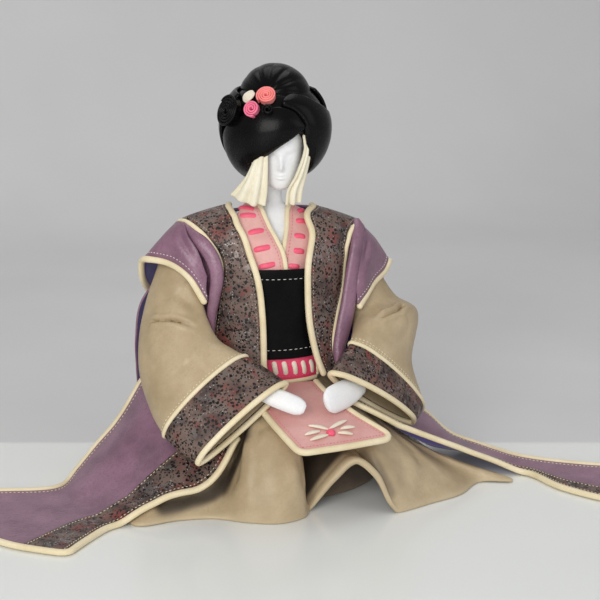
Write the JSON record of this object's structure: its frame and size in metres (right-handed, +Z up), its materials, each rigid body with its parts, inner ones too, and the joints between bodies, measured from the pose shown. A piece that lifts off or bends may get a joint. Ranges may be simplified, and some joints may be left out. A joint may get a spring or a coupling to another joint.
{
  "type": "kneeling leather figure sculpture",
  "caption": "Kneeling doll-like figure in a layered leather robe with laced collars, wide cuffs, an apron, long trailing trains and coiled black leather hair.",
  "frame": {"origin": "on the floor under the spine, at the underside of the base board", "axes": "+Z up, the figure faces -Y, +X towards its left hand side as the viewer's right"},
  "size_m": [0.6684, 0.3192, 0.352],
  "materials": {
    "white_resin": "matt white",
    "black_leather": "satin black",
    "cream_leather": "satin cream",
    "hot_pink_leather": "satin hot pink",
    "coral_leather": "satin coral",
    "wood": "plain",
    "foam": "plain padding",
    "steel_wire": "drawn wire",
    "crackle_foil_leather": "crackled foil",
    "purple_leather": "soft grain",
    "pink_leather": "soft grain",
    "tan_leather": "soft grain"
  },
  "bodies": {
    "figure": {"spine_dowel": "wood", "base_board": "wood", "seat_block": "foam", "torso_core": "foam", "bust_form": "white_resin", "arm_wire_left": "steel_wire", "arm_wire_right": "steel_wire", "train_band_left": "crackle_foil_leather", "train_left": "purple_leather", "train_binding_left": "cream_leather", "train_band_right": "crackle_foil_leather", "train_right": "purple_leather", "train_binding_right": "cream_leather", "apron": "pink_leather", "apron_binding": "cream_leather", "apron_flower": "cream_leather", "apron_flower_knot": "hot_pink_leather", "collar_right": "pink_leather", "collar_binding_right": "cream_leather", "collar_left": "pink_leather", "collar_binding_left": "cream_leather", "obi": "black_leather", "hip_panel": "hot_pink_leather", "hip_panel_binding": "cream_leather", "lapel_left": "crackle_foil_leather", "lapel_inner_binding_left": "cream_leather", "lapel_outer_binding_left": "cream_leather", "front_panel_left": "purple_leather", "lapel_right": "crackle_foil_leather", "lapel_inner_binding_right": "cream_leather", "lapel_outer_binding_right": "cream_leather", "front_panel_right": "purple_leather", "cap_sleeve_left": "purple_leather", "cap_binding_left": "cream_leather", "cap_sleeve_right": "purple_leather", "cap_binding_right": "cream_leather", "cuff_left": "crackle_foil_leather", "cuff_binding_left": "cream_leather", "sleeve_left": "tan_leather", "cuff_right": "crackle_foil_leather", "cuff_binding_right": "cream_leather", "sleeve_right": "tan_leather", "robe_back": "purple_leather", "skirt": "tan_leather", "underskirt": "black_leather"},
    "head": {"head": "white_resin", "hair_pad": "black_leather", "hair_front_sweep": "black_leather", "hair_side_band": "black_leather", "hair_back": "black_leather", "hair_crown": "black_leather", "lock_left": "cream_leather", "lock_right": "cream_leather", "rosette_hot_pink": "hot_pink_leather", "rosette_coral": "coral_leather", "rosette_black_small": "black_leather", "rosette_black_large": "black_leather", "petal_cream": "cream_leather"},
    "left_hand": {"hand_left": "white_resin"},
    "right_hand": {"hand_right": "white_resin"}
  },
  "joints": [
    {"name": "head_turn", "type": "hinge", "parent": "figure", "child": "head", "pos_m": [0, 0, 0.262], "axis": [0, 0, 1], "range_deg": [-15, 15]},
    {"name": "left_hand_swivel", "type": "hinge", "parent": "figure", "child": "left_hand", "pos_m": [-0.0383, -0.0848, 0.1004], "axis": [0.8387, -0.4387, -0.3226], "range_deg": [-6, 6]},
    {"name": "right_hand_swivel", "type": "hinge", "parent": "figure", "child": "right_hand", "pos_m": [0.06, -0.067, 0.0898], "axis": [-0.7982, -0.5986, -0.0678], "range_deg": [-6, 6]}
  ]
}
